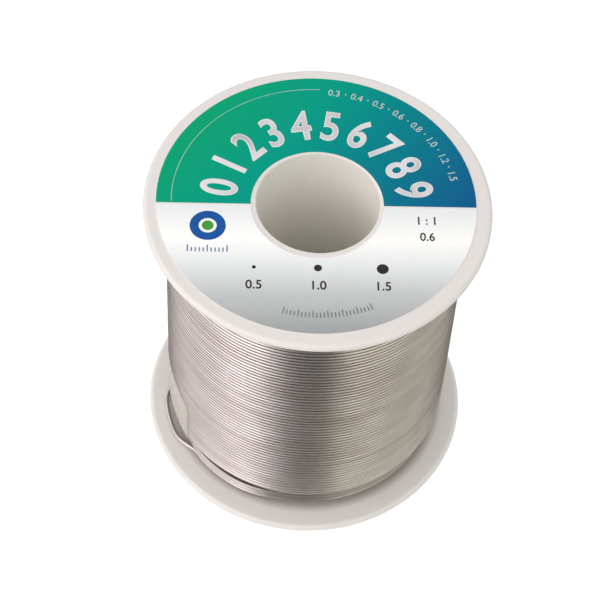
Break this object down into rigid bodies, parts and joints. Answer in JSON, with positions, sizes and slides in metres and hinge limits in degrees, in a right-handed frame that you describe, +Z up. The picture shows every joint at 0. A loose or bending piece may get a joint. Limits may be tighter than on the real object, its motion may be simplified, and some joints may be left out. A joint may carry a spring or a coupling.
{
  "type": "solder wire spool",
  "caption": "Plastic spool of fine solder wire: round flanges on a barrel with a spindle bore, ring label on top, level-wound bright wire with a taped end.",
  "frame": {"origin": "on the spool's axis, at the face it stands on", "axes": "+Z up along the spool's axis, from the foot to the label; +X and -X along the line that splits the label's two halves, coloured half towards +Y, plain half towards -Y, the front"},
  "size_m": [0.045, 0.045, 0.0469],
  "materials": {
    "spool_plastic": "moulded warm off-white styrene, satin",
    "label_film": "printed and laminated film, satin",
    "solder_wire": "drawn bright tin-lead alloy",
    "clear_tape": "clear film, satin"
  },
  "bodies": {
    "root": {"upper_spool_half": "spool_plastic", "lower_spool_half": "spool_plastic", "ring_label": "label_film", "wire_start": "solder_wire", "inner_wire_layers": "solder_wire", "lower_turns": "solder_wire", "outer_wire_layer": "solder_wire", "end_tape": "clear_tape"}
  },
  "joints": []
}
